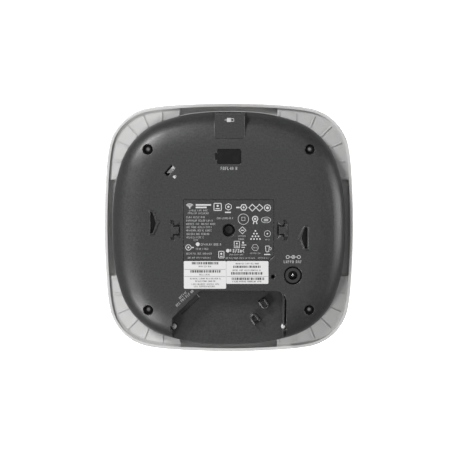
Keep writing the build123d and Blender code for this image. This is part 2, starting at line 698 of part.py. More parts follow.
def console_port_shell():
    """Upright steel sleeve with the keyed mouth of a small console port."""
    half_x, half_y = 4.0, 1.6
    points = [(-half_x, half_y), (half_x, half_y), (half_x, -0.4), (half_x - 1.0, -half_y),
              (-half_x + 1.0, -half_y), (-half_x, -0.4)]
    face = make_face(Polyline(*points, close=True))
    tube = extrude(face, amount=PORT_HIGH) - Pos(0, 0, 1.0) * extrude(offset(face, -0.3), amount=PORT_HIGH)
    return Pos(*CONSOLE, BOARD_TOP) * tube


def console_port_tongue():
    tongue = box((-2.6, -0.1, 1.0), (2.6, 0.6, PORT_HIGH - 0.8))
    return Pos(*CONSOLE, BOARD_TOP) * tongue


def console_cover():
    """Soft rubber plug: a plate with a thumb tab and a hollow skirt that grips the opening."""
    wide, high = CONSOLE_SIZE[0] - 2 * COVER_GAP, CONSOLE_SIZE[1] - 2 * COVER_GAP
    plate = pad(0, 0, -1.6, -0.25, wide, high, 0.9)
    tab_wide = CONSOLE_TAB[1] - 2 * COVER_GAP
    plate += box((-wide / 2 - CONSOLE_TAB[0], -tab_wide / 2, -1.6), (0, tab_wide / 2, -0.25))
    plate -= box((wide / 2 - 0.35, -0.7, -3), (wide / 2 + 1, 0.7, 1))
    skirt = pad(0, 0, -4.6, -1.6, 12.8 - 2 * COVER_GAP, 7.0 - 2 * COVER_GAP, 0.7)
    skirt -= pad(0, 0, -5, -1.6, 12.8 - 2 * COVER_GAP - 2, 7.0 - 2 * COVER_GAP - 2, 0.3)
    return Pos(*CONSOLE, 0) * (plate + skirt)


# ------------------------------------------------------------------ power socket, reset button, lock plate

def dc_jack_body():
    """Upright power socket: square base on the board and a round nose in the housing's hole."""
    body = pad(0, 0, BOARD_TOP, -5.0, 11.4, 11.4, 0.6) + rod(0, 0, -5.0, -0.7, DC_NOSE_R)
    body = chamfer(body.faces().sort_by(Axis.Z)[-1].edges(), 0.35)
    body -= rod(0, 0, -11.0, 2, DC_BORE_R)
    body -= box((-DC_BORE_R - 1.2, -1.3, -11.0), (0, 1.3, -5.2))
    return Pos(*DC, 0) * body


def dc_jack_pin():
    pin = rod(0, 0, -11.0, -2.4, DC_PIN_R)
    return Pos(*DC, 0) * fillet(pin.faces().sort_by(Axis.Z)[-1].edges(), 0.7)


def dc_jack_contact():
    """Leaf spring that presses on the plug's sleeve."""
    points = [(-4.1, -11.0), (-3.7, -11.0), (-3.2, -8.0), (-3.7, -5.3), (-4.1, -5.3), (-3.6, -8.0)]
    face = Plane.XZ * make_face(Polyline(*points, close=True))
    return Pos(DC[0], DC[1] + 1.0, 0) * extrude(face, amount=2.0)


SWITCH_TOP = BOARD_TOP + 3.5
PLUNGER_R = 1.7
PLUNGER_TOP = SWITCH_TOP + 1.0


def reset_switch():
    """Tactile switch on the board under the reset hole; its case is hollow where the button slides."""
    case = pad(*RESET, BOARD_TOP, SWITCH_TOP, 6.2, 6.2, 0.4)
    case -= rod(*RESET, BOARD_TOP + 1.2, SWITCH_TOP + 1, PLUNGER_R + 0.1)
    for sx in (-1, 1):
        for sy in (-1, 1):
            x, y = RESET[0] + sx * 3.6, RESET[1] + sy * 2.2
            case += box((min(x, x - sx), y - 0.4, BOARD_TOP), (max(x, x - sx), y + 0.4, BOARD_TOP + 0.4))
    return case


def reset_plunger():
    plunger = rod(*RESET, BOARD_TOP + 1.7, PLUNGER_TOP, PLUNGER_R)
    return fillet(plunger.faces().sort_by(Axis.Z)[-1].edges(), 0.3)


def security_bracket():
    """Bent steel cup behind the lock slot: slotted face, two sides and a floor."""
    long, wide = 12.2, 7.8
    top, low = -WALL - 0.05, -5.4
    cup = box((-long / 2, -wide / 2, low), (long / 2, wide / 2, top))
    cup -= box((-long / 2 - 1, -wide / 2 + 0.8, low + 0.8), (long / 2 + 1, wide / 2 - 0.8, top - 0.8))
    cup -= pad(0, 0, top - 2, top + 1, *LOCK_SLOT_SIZE)
    cup -= upright([(7, 0.5), (7, wide / 2 - 0.8), (-7, wide / 2 - 0.8), (-7, -wide / 2 + 0.8),
                    (0.0, -wide / 2 + 0.8), (-2.8, 0.4)], low - 1, top - 0.9)
    return Pos(*LOCK_SLOT, 0) * Rot(0, 0, LOCK_SLOT_TURN) * cup


# ------------------------------------------------------------------ labels

def label(x0, x1, y0, y1):
    return pad((x0 + x1) / 2, (y0 + y1) / 2, 0, LABEL_THICK, x1 - x0, y1 - y0, 0.8)


save(rear_housing(), "rear_housing")
save(front_cover(), "front_cover")
save(housing_screws(), "housing_screws")
save(board_screws(), "board_screws")
save(main_board(), "main_board")
save(heat_sink(), "heat_sink")
save(heat_sink_screws(), "heat_sink_screws")
save(thermal_pads(), "thermal_pads")
save(radio_shields(), "radio_shields")
save(processor(), "processor")
save(radio_chips(), "radio_chips")
save(memory_chips(), "memory_chips")
save(antenna(-28, 57.5, 24, 8, 180), "antenna_north_west")
save(antenna(28, 57.5, 24, 8, 180), "antenna_north_east")
save(antenna(-58.5, 1, 24, 8, 90), "antenna_west")
save(antenna(58.5, 1, 24, 8, -90), "antenna_east")
save(antenna(57, -36, 12, 6, -90), "bluetooth_antenna")
save(ethernet_jack_shell(), "ethernet_jack_shell")
save(ethernet_jack_insert(), "ethernet_jack_insert")
save(ethernet_contacts(), "ethernet_contacts")
save(ethernet_transformer(), "ethernet_transformer")
save(usb_port_shell(), "usb_port_shell")
save(usb_port_tongue(), "usb_port_tongue")
save(usb_contacts(), "usb_contacts")
save(console_port_shell(), "console_port_shell")
save(console_port_tongue(), "console_port_tongue")
save(console_cover(), "console_cover")
save(dc_jack_body(), "dc_jack_body")
save(dc_jack_pin(), "dc_jack_pin")
save(dc_jack_contact(), "dc_jack_contact")
save(reset_switch(), "reset_switch")
save(reset_plunger(), "reset_plunger")
save(power_capacitors(), "power_capacitors")
save(power_inductors(), "power_inductors")
save(crystal(), "crystal")
save(status_leds(), "status_leds")
save(light_pipe(), "light_pipe")
save(security_bracket(), "security_bracket")
save(label(-29.0, -1.7, -37.9, -19.9), "product_label")
save(label(-1.6, 25.6, -34.7, -19.9), "serial_label")
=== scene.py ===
import math
import random

import bmesh
import bpy
from mathutils import Matrix, Vector


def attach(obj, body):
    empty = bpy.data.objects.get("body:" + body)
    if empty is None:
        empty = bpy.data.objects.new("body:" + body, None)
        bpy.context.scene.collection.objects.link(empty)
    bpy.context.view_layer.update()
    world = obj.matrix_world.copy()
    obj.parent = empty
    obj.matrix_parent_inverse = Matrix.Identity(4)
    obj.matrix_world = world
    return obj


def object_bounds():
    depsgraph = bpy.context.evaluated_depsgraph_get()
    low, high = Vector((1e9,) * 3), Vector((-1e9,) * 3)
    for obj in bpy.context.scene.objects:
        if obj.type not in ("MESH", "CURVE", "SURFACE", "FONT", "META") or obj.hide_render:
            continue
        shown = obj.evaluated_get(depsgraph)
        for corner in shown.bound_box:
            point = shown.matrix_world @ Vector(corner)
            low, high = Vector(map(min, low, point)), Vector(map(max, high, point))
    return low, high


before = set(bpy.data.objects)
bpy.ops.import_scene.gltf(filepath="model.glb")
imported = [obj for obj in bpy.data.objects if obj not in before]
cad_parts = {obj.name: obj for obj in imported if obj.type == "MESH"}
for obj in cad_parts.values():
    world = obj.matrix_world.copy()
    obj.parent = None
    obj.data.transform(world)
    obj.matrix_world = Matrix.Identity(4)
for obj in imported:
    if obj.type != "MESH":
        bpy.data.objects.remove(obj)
cad_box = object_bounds()

# ---------------------------------------------------------------- camera
# It looks down on the back of the unit, which is the side that faces the ceiling, from about
# one and a half metres and five degrees towards the USB side, through a long lens.
TILT = math.radians(5.3)
DISTANCE = 1.5
AIM = Vector((0.0008, 0.0002, 0.0))
camera_data = bpy.data.cameras.new("camera")
camera_data.sensor_width = 36.0
camera_data.lens = 182.2
camera_data.clip_start = 0.05
camera = bpy.data.objects.new("camera", camera_data)
bpy.context.scene.collection.objects.link(camera)
towards = Vector((0.0, math.sin(TILT), math.cos(TILT)))
camera.location = AIM + DISTANCE * towards
camera.rotation_euler = (-TILT, 0.0, 0.0)
bpy.context.scene.camera = camera

# ---------------------------------------------------------------- table and light
# The unit lies face down on a pale glowing table, as in a small product studio; from below
# the table is clear, so that the front can be seen too. A broad soft box hangs over it, two
# stand on its left, and a narrow one on its right grazes the rounded edge.
bpy.context.scene.view_settings.view_transform = "Standard"
bpy.context.scene.view_settings.look = "None"
world = bpy.data.worlds.new("studio")
world.use_nodes = True
world.node_tree.nodes["Background"].inputs["Color"].default_value = (1.0, 1.0, 1.0, 1.0)
world.node_tree.nodes["Background"].inputs["Strength"].default_value = 0.16
bpy.context.scene.world = world


def soft_box(name, place, aim, wide, high, watts):
    lamp = bpy.data.lights.new(name, "AREA")
    lamp.shape = "RECTANGLE"
    lamp.size = wide
    lamp.size_y = high
    lamp.energy = watts
    box = bpy.data.objects.new(name, lamp)
    bpy.context.scene.collection.objects.link(box)
    box.location = place
    box.rotation_euler = (Vector(aim) - Vector(place)).to_track_quat("-Z", "Y").to_euler()
    return box


soft_box("top_box", (0.4, 0.45, 2.2), (0, 0, 0), 2.0, 2.0, 8.0)
soft_box("left_high_box", (-0.82, 0.84, 0.98), (-0.02, 0.02, 0), 0.46, 0.46, 27.0)
soft_box("left_low_box", (-0.82, -0.84, 0.98), (-0.02, -0.02, 0), 0.46, 0.46, 18.0)
soft_box("right_rim_box", (1.2, 0.0, 0.28), (0.05, 0, 0), 0.25, 1.0, 9.0)

bpy.ops.mesh.primitive_plane_add(size=6.0)
table = bpy.context.object
table.name = "table"
table.location.z = cad_box[0][2] - 0.0002
table.visible_glossy = False
table_paint = bpy.data.materials.new("table_white")
table_paint.use_nodes = True
table_surface = table_paint.node_tree.nodes["Principled BSDF"]
table_surface.inputs["Base Color"].default_value = (0.86, 0.86, 0.86, 1.0)
table_surface.inputs["Roughness"].default_value = 0.9
table_surface.inputs["Specular IOR Level"].default_value = 0.1
table_surface.inputs["Emission Color"].default_value = (1.0, 1.0, 1.0, 1.0)
table_surface.inputs["Emission Strength"].default_value = 0.9
table_nodes = table_paint.node_tree.nodes
under = table_nodes.new("ShaderNodeNewGeometry")
clear = table_nodes.new("ShaderNodeBsdfTransparent")
one_sided = table_nodes.new("ShaderNodeMixShader")
table_links = table_paint.node_tree.links
table_links.new(under.outputs["Backfacing"], one_sided.inputs["Fac"])
table_links.new(table_surface.outputs["BSDF"], one_sided.inputs[1])
table_links.new(clear.outputs["BSDF"], one_sided.inputs[2])
table_links.new(one_sided.outputs["Shader"], table_nodes["Material Output"].inputs["Surface"])
table.data.materials.append(table_paint)

# ---------------------------------------------------------------- rear housing
# One moulding in a dark grey polycarbonate blend, with a spark-eroded matt texture, a faint
# mottle and softly rounded edges.


class Wire:
    """An output of a node tree; plain arithmetic on it adds Math nodes."""

    def __init__(self, tree, socket):
        self.tree = tree
        self.socket = socket

    def node(self, kind, settings, sockets, output=0):
        """Adds a node: its settings first, then a value or a wire for each named socket."""
        made = self.tree.nodes.new(kind)
        for name, value in settings.items():
            if name == "stops":
                ramp = made.color_ramp
                while len(ramp.elements) < len(value):
                    ramp.elements.new(1.0)
                for element, (place, shade) in zip(ramp.elements, value):
                    element.position = place
                    element.color = (shade, shade, shade, 1.0)
            else:
                setattr(made, name, value)
        for name, value in sockets.items():
            if isinstance(value, Wire):
                self.tree.links.new(value.socket, made.inputs[name])
            else:
                made.inputs[name].default_value = value
        return Wire(self.tree, made.outputs[output])

    def maths(self, operation, *values):
        return self.node("ShaderNodeMath", {"operation": operation}, dict(enumerate(values)))

    def __add__(self, other):
        return self.maths("ADD", self, other)

    __radd__ = __add__

    def __mul__(self, other):
        return self.maths("MULTIPLY", self, other)

    def __sub__(self, other):
        return self.maths("SUBTRACT", self, other)

    def __rsub__(self, other):
        return self.maths("SUBTRACT", other, self)

    def part(self, axis):
        """The X, Y or Z of a position."""
        split = self.node("ShaderNodeSeparateXYZ", {}, {"Vector": self})
        return Wire(self.tree, split.socket.node.outputs[axis])

    def grain(self, feature, detail=2.0, roughness=0.5):
        """Noise whose lumps are about feature metres across."""
        return self.node("ShaderNodeTexNoise", {}, {
            "Vector": self, "Scale": 1.0 / feature, "Detail": detail, "Roughness": roughness})

    def ramp(self, *stops):
        return self.node("ShaderNodeValToRGB", {"stops": stops}, {"Fac": self})

    def blend(self, low, high):
        """A colour between low and high, by this value."""
        return self.node("ShaderNodeMix", {"data_type": "RGBA"}, {
            "Factor": self, 6: (*low, 1.0), 7: (*high, 1.0)}, 2)


def material(name, build, **fixed):
    """A Principled material; build gets its object-space position and gives the varying sockets."""
    paint = bpy.data.materials.new(name)
    paint.use_nodes = True
    tree = paint.node_tree
    surface = tree.nodes["Principled BSDF"]
    for socket, value in fixed.items():
        surface.inputs[socket.replace("_", " ")].default_value = value
    spot = tree.nodes.new("ShaderNodeTexCoord")
    varying = build(Wire(tree, spot.outputs["Object"]))
    for socket, wire in varying.items():
        tree.links.new(wire.socket, surface.inputs[socket])
    return paint


def bump(height, depth, strength=1.0):
    """A normal from a height of 0 to 1 that stands for depth metres."""
    return height.node("ShaderNodeBump", {}, {"Height": height, "Distance": depth, "Strength": strength})


def soft_edge(height, depth, strength, radius, where):
    """A bumped normal; where it is 1, edges look rounded over radius metres, as moulded ones are."""
    plain = bump(height, depth, strength)
    rounded = bump(height, depth, strength)
    corner = height.node("ShaderNodeBevel", {"samples": 8}, {"Radius": radius})
    rounded.tree.links.new(corner.socket, rounded.socket.node.inputs["Normal"])
    return where.node("ShaderNodeMix", {"data_type": "VECTOR"}, {"Factor": where, 4: plain, 5: rounded}, 1)


def wear(paint, *names):
    """Puts one material on each named CAD node."""
    for name in names:
        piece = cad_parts[name]
        while len(piece.material_slots) < 1:
            piece.data.materials.append(None)
        for place in piece.material_slots:
            place.material = paint


def housing_texture(spot):
    fine = spot.grain(0.00045, 3.0, 0.6)
    upper = ((spot.part("Z") + 0.016) * 250.0).ramp((0.0, 0.0), (1.0, 1.0))
    cloud = spot.grain(0.0011, 3.0, 0.7).ramp((0.35, 0.0), (0.65, 1.0))
    return {
        "Base Color": (fine * 0.3 + cloud * 0.7).blend((0.011, 0.011, 0.0112), (0.030, 0.030, 0.0304)),
        "Roughness": 0.32 + cloud * 0.08 + fine * 0.08,
        "Normal": soft_edge(fine, 0.00004, 0.8, 0.0007, upper),
    }


housing_plastic = material("housing_plastic", housing_texture)
wear(housing_plastic, "rear_housing")

# ---------------------------------------------------------------- front cover
# A dished shell in near-white plastic with a fine satin skin; its ribs, ledge and pegs are part
# of the same moulding.


def cover_texture(spot):
    fine = spot.grain(0.0006, 2.0)
    broad = spot.grain(0.03, 2.0)
    return {
        "Base Color": (fine * 0.5 + broad * 0.5).blend((0.38, 0.38, 0.377), (0.42, 0.42, 0.416)),
        "Roughness": 0.38 + fine * 0.12,
        "Normal": bump(fine, 0.00002, 0.6),
    }


cover_plastic = material(
    "cover_plastic", cover_texture,
    Subsurface_Weight=0.3, Subsurface_Radius=(1.0, 1.0, 1.0), Subsurface_Scale=0.003)
wear(cover_plastic, "front_cover")

# ---------------------------------------------------------------- console cover
# A soft thermoplastic-rubber plug pushed into its opening, matt and a little dusty on top.


def rubber_texture(spot):
    fine = spot.grain(0.0004, 3.0)
    dust = spot.grain(0.004, 3.0).ramp((0.45, 0.0), (0.75, 1.0))
    return {
        "Base Color": dust.blend((0.006, 0.006, 0.006), (0.009, 0.009, 0.009)),
        "Roughness": 0.74 + fine * 0.14,
        "Normal": bump(fine, 0.00003, 0.7),
    }


rubber = material("soft_rubber", rubber_texture, Specular_IOR_Level=0.14)
wear(rubber, "console_cover")

# ---------------------------------------------------------------- screws
# The four housing screws are black-oxide steel; each head carries a painted highlight, a lighter colour
# in its middle where the drive glints. The board screws are the same, and the heat sink's are plain
# zinc-plated steel.


def coated(dark, light, feature, rough):
    """Texture maker: colour mottled over feature metres, with matching fine roughness and relief."""
    def texture(spot):
        mottle = spot.grain(feature, 3.0)
        fine = spot.grain(feature / 5.0, 2.0)
        return {
            "Base Color": mottle.blend(dark, light),
            "Roughness": rough + fine * 0.12,
            "Normal": bump(fine, feature / 60.0, 0.6),
        }
    return texture


def screw_texture(spot):
    off_x = spot.part("X").maths("ABSOLUTE", spot.part("X")) - 0.0521
    off_y = spot.part("Y").maths("ABSOLUTE", spot.part("Y")) - 0.0520
    reach = spot.maths("SQRT", off_x * off_x + off_y * off_y) * 250.0
    # painted highlight: the colour is lighter within about 0.8 mm of each screw's axis, for the glint in its
    # drive
    painted_glint = reach.ramp((0.20, 1.0), (0.30, 0.0))
    fine = spot.grain(0.0003, 2.0)
    return {
        "Base Color": painted_glint.blend((0.04, 0.04, 0.042), (0.40, 0.40, 0.41)),
        "Roughness": 0.30 + fine * 0.16,
        "Normal": bump(fine, 0.00001, 0.6),
    }


driven_screw = material("driven_screw", screw_texture, Metallic=0.85)
wear(driven_screw, "housing_screws")
black_oxide = material(
    "black_oxide", coated((0.10, 0.10, 0.105), (0.18, 0.18, 0.19), 0.0012, 0.30), Metallic=0.9)
wear(black_oxide, "board_screws")
zinc_steel = material(
    "zinc_steel", coated((0.52, 0.53, 0.56), (0.66, 0.67, 0.70), 0.001, 0.24), Metallic=1.0)
wear(zinc_steel, "heat_sink_screws")

# ---------------------------------------------------------------- lock plate
# A bent strip of zinc-plated steel, caught in a moulded frame behind the lock slot; the tool
# marks run along it.


def plate_texture(spot):
    streaks = spot.node("ShaderNodeMapping", {}, {
        "Vector": spot, "Rotation": (0.0, 0.0, math.radians(-48.0)), "Scale": (120.0, 2600.0, 900.0)})
    drawn = streaks.node("ShaderNodeTexNoise", {}, {"Vector": streaks, "Scale": 1.0, "Detail": 2.0})
    return {
        "Base Color": drawn.blend((0.78, 0.78, 0.78), (0.90, 0.90, 0.90)),
        "Roughness": 0.40 + drawn * 0.15,
        "Normal": bump(drawn, 0.00001, 0.5),
    }


plate_steel = material("plate_steel", plate_texture, Metallic=0.15)
wear(plate_steel, "security_bracket")

# ---------------------------------------------------------------- power socket
# Glass-filled black plastic body, a nickel-plated brass pin and a bronze leaf spring.

connector_plastic = material(
    "connector_plastic", coated((0.013, 0.013, 0.013), (0.022, 0.022, 0.022), 0.0008, 0.30))
wear(connector_plastic, "dc_jack_body")
nickel = material("nickel", coated((0.70, 0.69, 0.66), (0.80, 0.79, 0.76), 0.0009, 0.16), Metallic=1.0)
wear(nickel, "dc_jack_pin")
bronze = material("bronze", coated((0.62, 0.42, 0.22), (0.74, 0.52, 0.30), 0.0008, 0.25), Metallic=1.0)
wear(bronze, "dc_jack_contact")

# ---------------------------------------------------------------- reset button
# A tactile switch on the board with a moulded case and a black acetal plunger.

wear(connector_plastic, "reset_switch")
acetal = material("acetal", coated((0.020, 0.020, 0.021), (0.030, 0.030, 0.031), 0.0006, 0.42))
wear(acetal, "reset_plunger")

# ---------------------------------------------------------------- network socket
# A folded tin-plated can round a black insert with eight gold-plated wires, and its transformer
# beside it on the board.


def tin_texture(spot):
    spangle = spot.node("ShaderNodeTexVoronoi", {}, {"Vector": spot, "Scale": 700.0}, 1)
    fine = spot.grain(0.0004, 2.0)
    return {
        "Base Color": (spangle * 0.3 + fine * 0.7).blend((0.58, 0.58, 0.57), (0.72, 0.72, 0.71)),
        "Roughness": 0.22 + fine * 0.14,
        "Normal": bump(fine, 0.00001, 0.5),
    }


tin_plate = material("tin_plate", tin_texture, Metallic=1.0)
wear(tin_plate, "ethernet_jack_shell")
wear(connector_plastic, "ethernet_jack_insert", "ethernet_transformer")
gold = material("gold_plating", coated((0.83, 0.60, 0.24), (0.93, 0.72, 0.34), 0.0006, 0.15), Metallic=1.0)
wear(gold, "ethernet_contacts")

# ---------------------------------------------------------------- USB port and console port
# Both are folded steel sleeves on the board, with a moulded tongue and plated contacts inside.

wear(tin_plate, "usb_port_shell", "console_port_shell")
wear(connector_plastic, "usb_port_tongue", "console_port_tongue")
wear(gold, "usb_contacts")

# ---------------------------------------------------------------- main board
# Glass-epoxy board under green solder mask; the copper tracks under it show as faint lines in
# a grid, and the cut edge is the same green.


def board_texture(spot):
    wander = spot.grain(0.006, 2.0) * 0.004
    rows = spot.maths("PINGPONG", spot.part("X") + wander, 0.0009) * 1110.0
    lanes = spot.maths("PINGPONG", spot.part("Y") + wander, 0.0012) * 830.0
    zone = spot.grain(0.012, 1.0).ramp((0.48, 0.0), (0.52, 1.0))
    tracks = (zone * rows + (1.0 - zone) * lanes).ramp((0.62, 0.0), (0.70, 1.0))
    return {
        "Base Color": tracks.blend((0.010, 0.075, 0.030), (0.020, 0.125, 0.050)),
        "Roughness": 0.26 + tracks * 0.08,
        "Normal": bump(tracks, 0.00003, 0.8),
    }


board_laminate = material("board_laminate", board_texture)
wear(board_laminate, "main_board")

# ---------------------------------------------------------------- parts on the board
# Moulded chips are matt epoxy, the power capacitors are aluminium cans, the inductors pressed
# iron powder, the crystal a plated steel can and the lights white ceramic with a yellow gel.

epoxy = material("chip_epoxy", coated((0.014, 0.014, 0.015), (0.024, 0.024, 0.025), 0.0008, 0.52))
wear(epoxy, "processor", "radio_chips", "memory_chips")
can_aluminium = material(
    "can_aluminium", coated((0.66, 0.66, 0.67), (0.78, 0.78, 0.79), 0.0015, 0.28), Metallic=1.0)
wear(can_aluminium, "power_capacitors", "crystal")
iron_powder = material("iron_powder", coated((0.055, 0.055, 0.058), (0.10, 0.10, 0.105), 0.0005, 0.62))
wear(iron_powder, "power_inductors")
light_ceramic = material("light_ceramic", coated((0.74, 0.70, 0.46), (0.84, 0.80, 0.60), 0.0005, 0.35))
wear(light_ceramic, "status_leds")

# ---------------------------------------------------------------- shields, antennas and heat sink
# Shields and antennas are stamped from tin-plated steel. The heat sink is a die casting with a
# grainy skin, and the pads between are pale silicone.

wear(tin_plate, "radio_shields", "antenna_north_west", "antenna_north_east", "antenna_west",
     "antenna_east", "bluetooth_antenna")
casting = material("die_casting", coated((0.40, 0.40, 0.41), (0.52, 0.52, 0.53), 0.0011, 0.42), Metallic=0.9)
wear(casting, "heat_sink")
silicone = material("silicone_pad", coated((0.42, 0.47, 0.55), (0.50, 0.55, 0.62), 0.0015, 0.62))
wear(silicone, "thermal_pads")

# ---------------------------------------------------------------- light pipe
# Clear acrylic, polished at its ends and faintly cloudy where it left the mould.


def acrylic_texture(spot):
    haze = spot.grain(0.002, 2.0)
    return {
        "Base Color": haze.blend((0.86, 0.88, 0.88), (0.93, 0.94, 0.94)),
        "Roughness": 0.06 + haze * 0.12,
    }


acrylic = material("clear_acrylic", acrylic_texture, Transmission_Weight=0.85, IOR=1.49)
wear(acrylic, "light_pipe")

# ---------------------------------------------------------------- printed panel
# White pad-printing in the shallow square panel round the centre hole: a generic sign, rows of
# small print and plain picture marks, each a film of ink a few hundredths of a millimetre thick.
# The large marks are printed twice, so they cover better than the small print.


def round_point(x, y, radius, degrees, flat=1.0):
    """A point on a circle, or on one whose height is squashed by flat."""
    angle = math.radians(degrees)
    return (x + radius * math.cos(angle), y + radius * flat * math.sin(angle))


class Ink:
    """A film of ink on a flat face; shapes are given in millimetres and made as closed solids."""

    def __init__(self, name, level, thick, place=(0.0, 0.0), turn=0.0):
        self.name = name
        self.low = level - 0.02
        self.high = level + thick
        self.place = place
        self.turn = math.radians(turn)
        self.mesh = bmesh.new()

    def corner(self, x, y, z):
        along = x * math.cos(self.turn) - y * math.sin(self.turn) + self.place[0]
        up = x * math.sin(self.turn) + y * math.cos(self.turn) + self.place[1]
        return self.mesh.verts.new((along * 0.001, up * 0.001, z * 0.001))

    def strip(self, left, right, closed=False):
        """A solid band between two rows of points."""
        rows = [[self.corner(x, y, z) for x, y in side]
                for side, z in ((left, self.high), (right, self.high), (right, self.low), (left, self.low))]
        count = len(left)
        for i in range(count if closed else count - 1):
            j = (i + 1) % count
            for a, b in ((0, 1), (1, 2), (2, 3), (3, 0)):
                self.mesh.faces.new((rows[a][i], rows[a][j], rows[b][j], rows[b][i]))
        if not closed:
            self.mesh.faces.new([row[0] for row in rows])
            self.mesh.faces.new([row[-1] for row in reversed(rows)])

    def line(self, x0, y0, x1, y1, wide):
        length = math.hypot(x1 - x0, y1 - y0)
        across = (-(y1 - y0) / length * wide / 2, (x1 - x0) / length * wide / 2)
        ends = ((x0, y0), (x1, y1))
        self.strip([(x + across[0], y + across[1]) for x, y in ends],
                   [(x - across[0], y - across[1]) for x, y in ends])

    def bar(self, x0, y0, x1, y1):
        self.line(x0, (y0 + y1) / 2, x1, (y0 + y1) / 2, abs(y1 - y0))

    def path(self, points, wide, closed=True):
        ends = zip(points, points[1:] + points[:1]) if closed else zip(points, points[1:])
        for (x0, y0), (x1, y1) in ends:
            self.line(x0, y0, x1, y1, wide)

    def arc(self, x, y, radius, wide, start=0.0, turn=360.0):
        """A ring, or the part of one from start through turn degrees."""
        steps = max(6, int(abs(turn) / 15))
        closed = turn == 360.0
        turns = [start + turn * i / steps for i in range(steps if closed else steps + 1)]
        inner = [round_point(x, y, radius - wide / 2, degrees) for degrees in turns]
        outer = [round_point(x, y, radius + wide / 2, degrees) for degrees in turns]
        self.strip(inner, outer, closed)

    def dot(self, x, y, radius):
        self.fill([round_point(x, y, radius, 24 * i) for i in range(15)])

    def outline(self, x, y, radius, sides, wide, start=90.0, flat=1.0):
        """An even-sided outline round a point; flat squashes its height."""
        turns = [start + 360.0 * i / sides for i in range(sides)]
        inner = [round_point(x, y, radius - wide / 2, degrees, flat) for degrees in turns]
        outer = [round_point(x, y, radius + wide / 2, degrees, flat) for degrees in turns]
        self.strip(inner, outer, True)

    def fill(self, points):
        """A solid over a convex outline."""
        top = [self.corner(x, y, self.high) for x, y in points]
        low = [self.corner(x, y, self.low) for x, y in points]
        self.mesh.faces.new(top)
        self.mesh.faces.new(list(reversed(low)))
        for i in range(len(points)):
            j = (i + 1) % len(points)
            self.mesh.faces.new((top[i], low[i], low[j], top[j]))

    def row(self, x0, x1, y0, y1, dice, weight=0.12):
        """A line of small print: letter-like marks of one to three strokes, in words."""
        high = y1 - y0
        wide = high * weight
        step = high * 0.72
        x = x0
        word = dice.randint(3, 8)
        while x + step * 0.7 <= x1 + 0.05:
            right = x + step * 0.62
            shape = dice.randint(0, 5)
            if shape != 3:
                self.bar(x, y0, x + wide, y1)
            if shape in (0, 2, 3):
                self.bar(right - wide, y0, right, y1)
            if shape in (1, 2, 5):
                self.bar(x, y1 - wide, right, y1)
            if shape in (1, 4):
                self.bar(x, y0, right, y0 + wide)
            if shape in (0, 5, 3):
                self.bar(x, (y0 + y1 - wide) / 2, right, (y0 + y1 + wide) / 2)
            x += step
            word -= 1
            if word == 0:
                x += step * 0.7
                word = dice.randint(3, 8)

    def done(self, paint, body="root"):
        bmesh.ops.recalc_face_normals(self.mesh, faces=self.mesh.faces)
        data = bpy.data.meshes.new(self.name)
        self.mesh.to_mesh(data)
        self.mesh.free()
        data.materials.append(paint)
        film = bpy.data.objects.new(self.name, data)
        bpy.context.scene.collection.objects.link(film)
        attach(film, body)
        return film


white_ink = material("white_ink", coated((0.36, 0.36, 0.36), (0.46, 0.46, 0.46), 0.0009, 0.45))
thin_ink = material("thin_ink", coated((0.32, 0.32, 0.32), (0.42, 0.42, 0.42), 0.0009, 0.45))
dice = random.Random(11)
panel_floor = -0.15
film = 0.025
panel = Ink("panel_print", panel_floor, film)
small = Ink("panel_small_print", panel_floor, 0.02)

# generic sign: a fan of three waves beside two plain bars
panel.dot(-25.2, 14.6, 0.5)
for reach in (1.25, 2.05, 2.85):
    panel.arc(-25.2, 14.3, reach, 0.42, 40, 100)
panel.bar(-21.3, 15.9, -11.4, 16.9)
panel.bar(-21.3, 14.3, -14.2, 15.3)
small.row(-25.5, -13.0, 12.3, 13.4, dice)
small.row(-26.3, -12.8, 10.4, 11.6, dice)

# rows of small print down the left side
for x0, x1, y0, y1 in (
        (-27.3, -15.1, 7.8, 9.05), (-27.3, -10.1, 5.65, 6.9), (-27.4, -8.3, 3.45, 4.7),
        (-27.4, -10.8, 1.4, 2.6), (-27.5, -10.9, -0.7, 0.5), (-27.1, -12.0, -3.05, -1.8),
        (-27.4, -15.3, -5.2, -4.0), (-22.6, -19.3, -6.9, -5.8), (-18.0, -4.6, -9.9, -8.4),
        (-21.2, -12.8, -12.7, -11.5), (-27.5, -10.2, -15.7, -14.5), (-7.6, 3.5, 7.2, 8.4),
        (6.1, 11.3, -4.1, -3.1), (6.3, 11.0, -6.3, -5.2), (23.3, 26.5, -6.5, -5.6),
        (0.4, 10.3, -16.2, -15.3), (13.6, 20.5, -15.3, -14.4), (-26.4, -11.0, -18.3, -17.3),
        (-2.2, 16.9, -18.5, -17.5), (18.7, 25.8, -18.4, -17.5)):
    small.row(x0, x1, y0, y1, dice)

# first row of picture marks: tile, hexagon, bar with a hexagon, two diamonds, octagon
panel.path([(-9.5, 12.8), (-4.8, 12.8), (-4.8, 17.4), (-9.5, 17.4)], 0.5)
panel.dot(-7.15, 15.8, 0.7)
panel.bar(-8.5, 13.7, -5.8, 14.3)
panel.outline(-0.2, 15.2, 2.1, 6, 0.45)
panel.dot(-0.2, 15.2, 0.7)
panel.bar(-2.4, 11.2, 1.4, 12.0)
panel.bar(4.8, 14.3, 7.0, 15.2)
panel.outline(9.6, 14.8, 2.0, 6, 0.7, 0.0)
panel.dot(9.6, 14.8, 0.6)
panel.outline(15.2, 14.6, 2.2, 4, 0.7)
panel.outline(19.8, 14.6, 2.2, 4, 0.7)
panel.outline(24.9, 14.5, 2.1, 8, 0.5)
panel.dot(24.9, 14.5, 0.9)

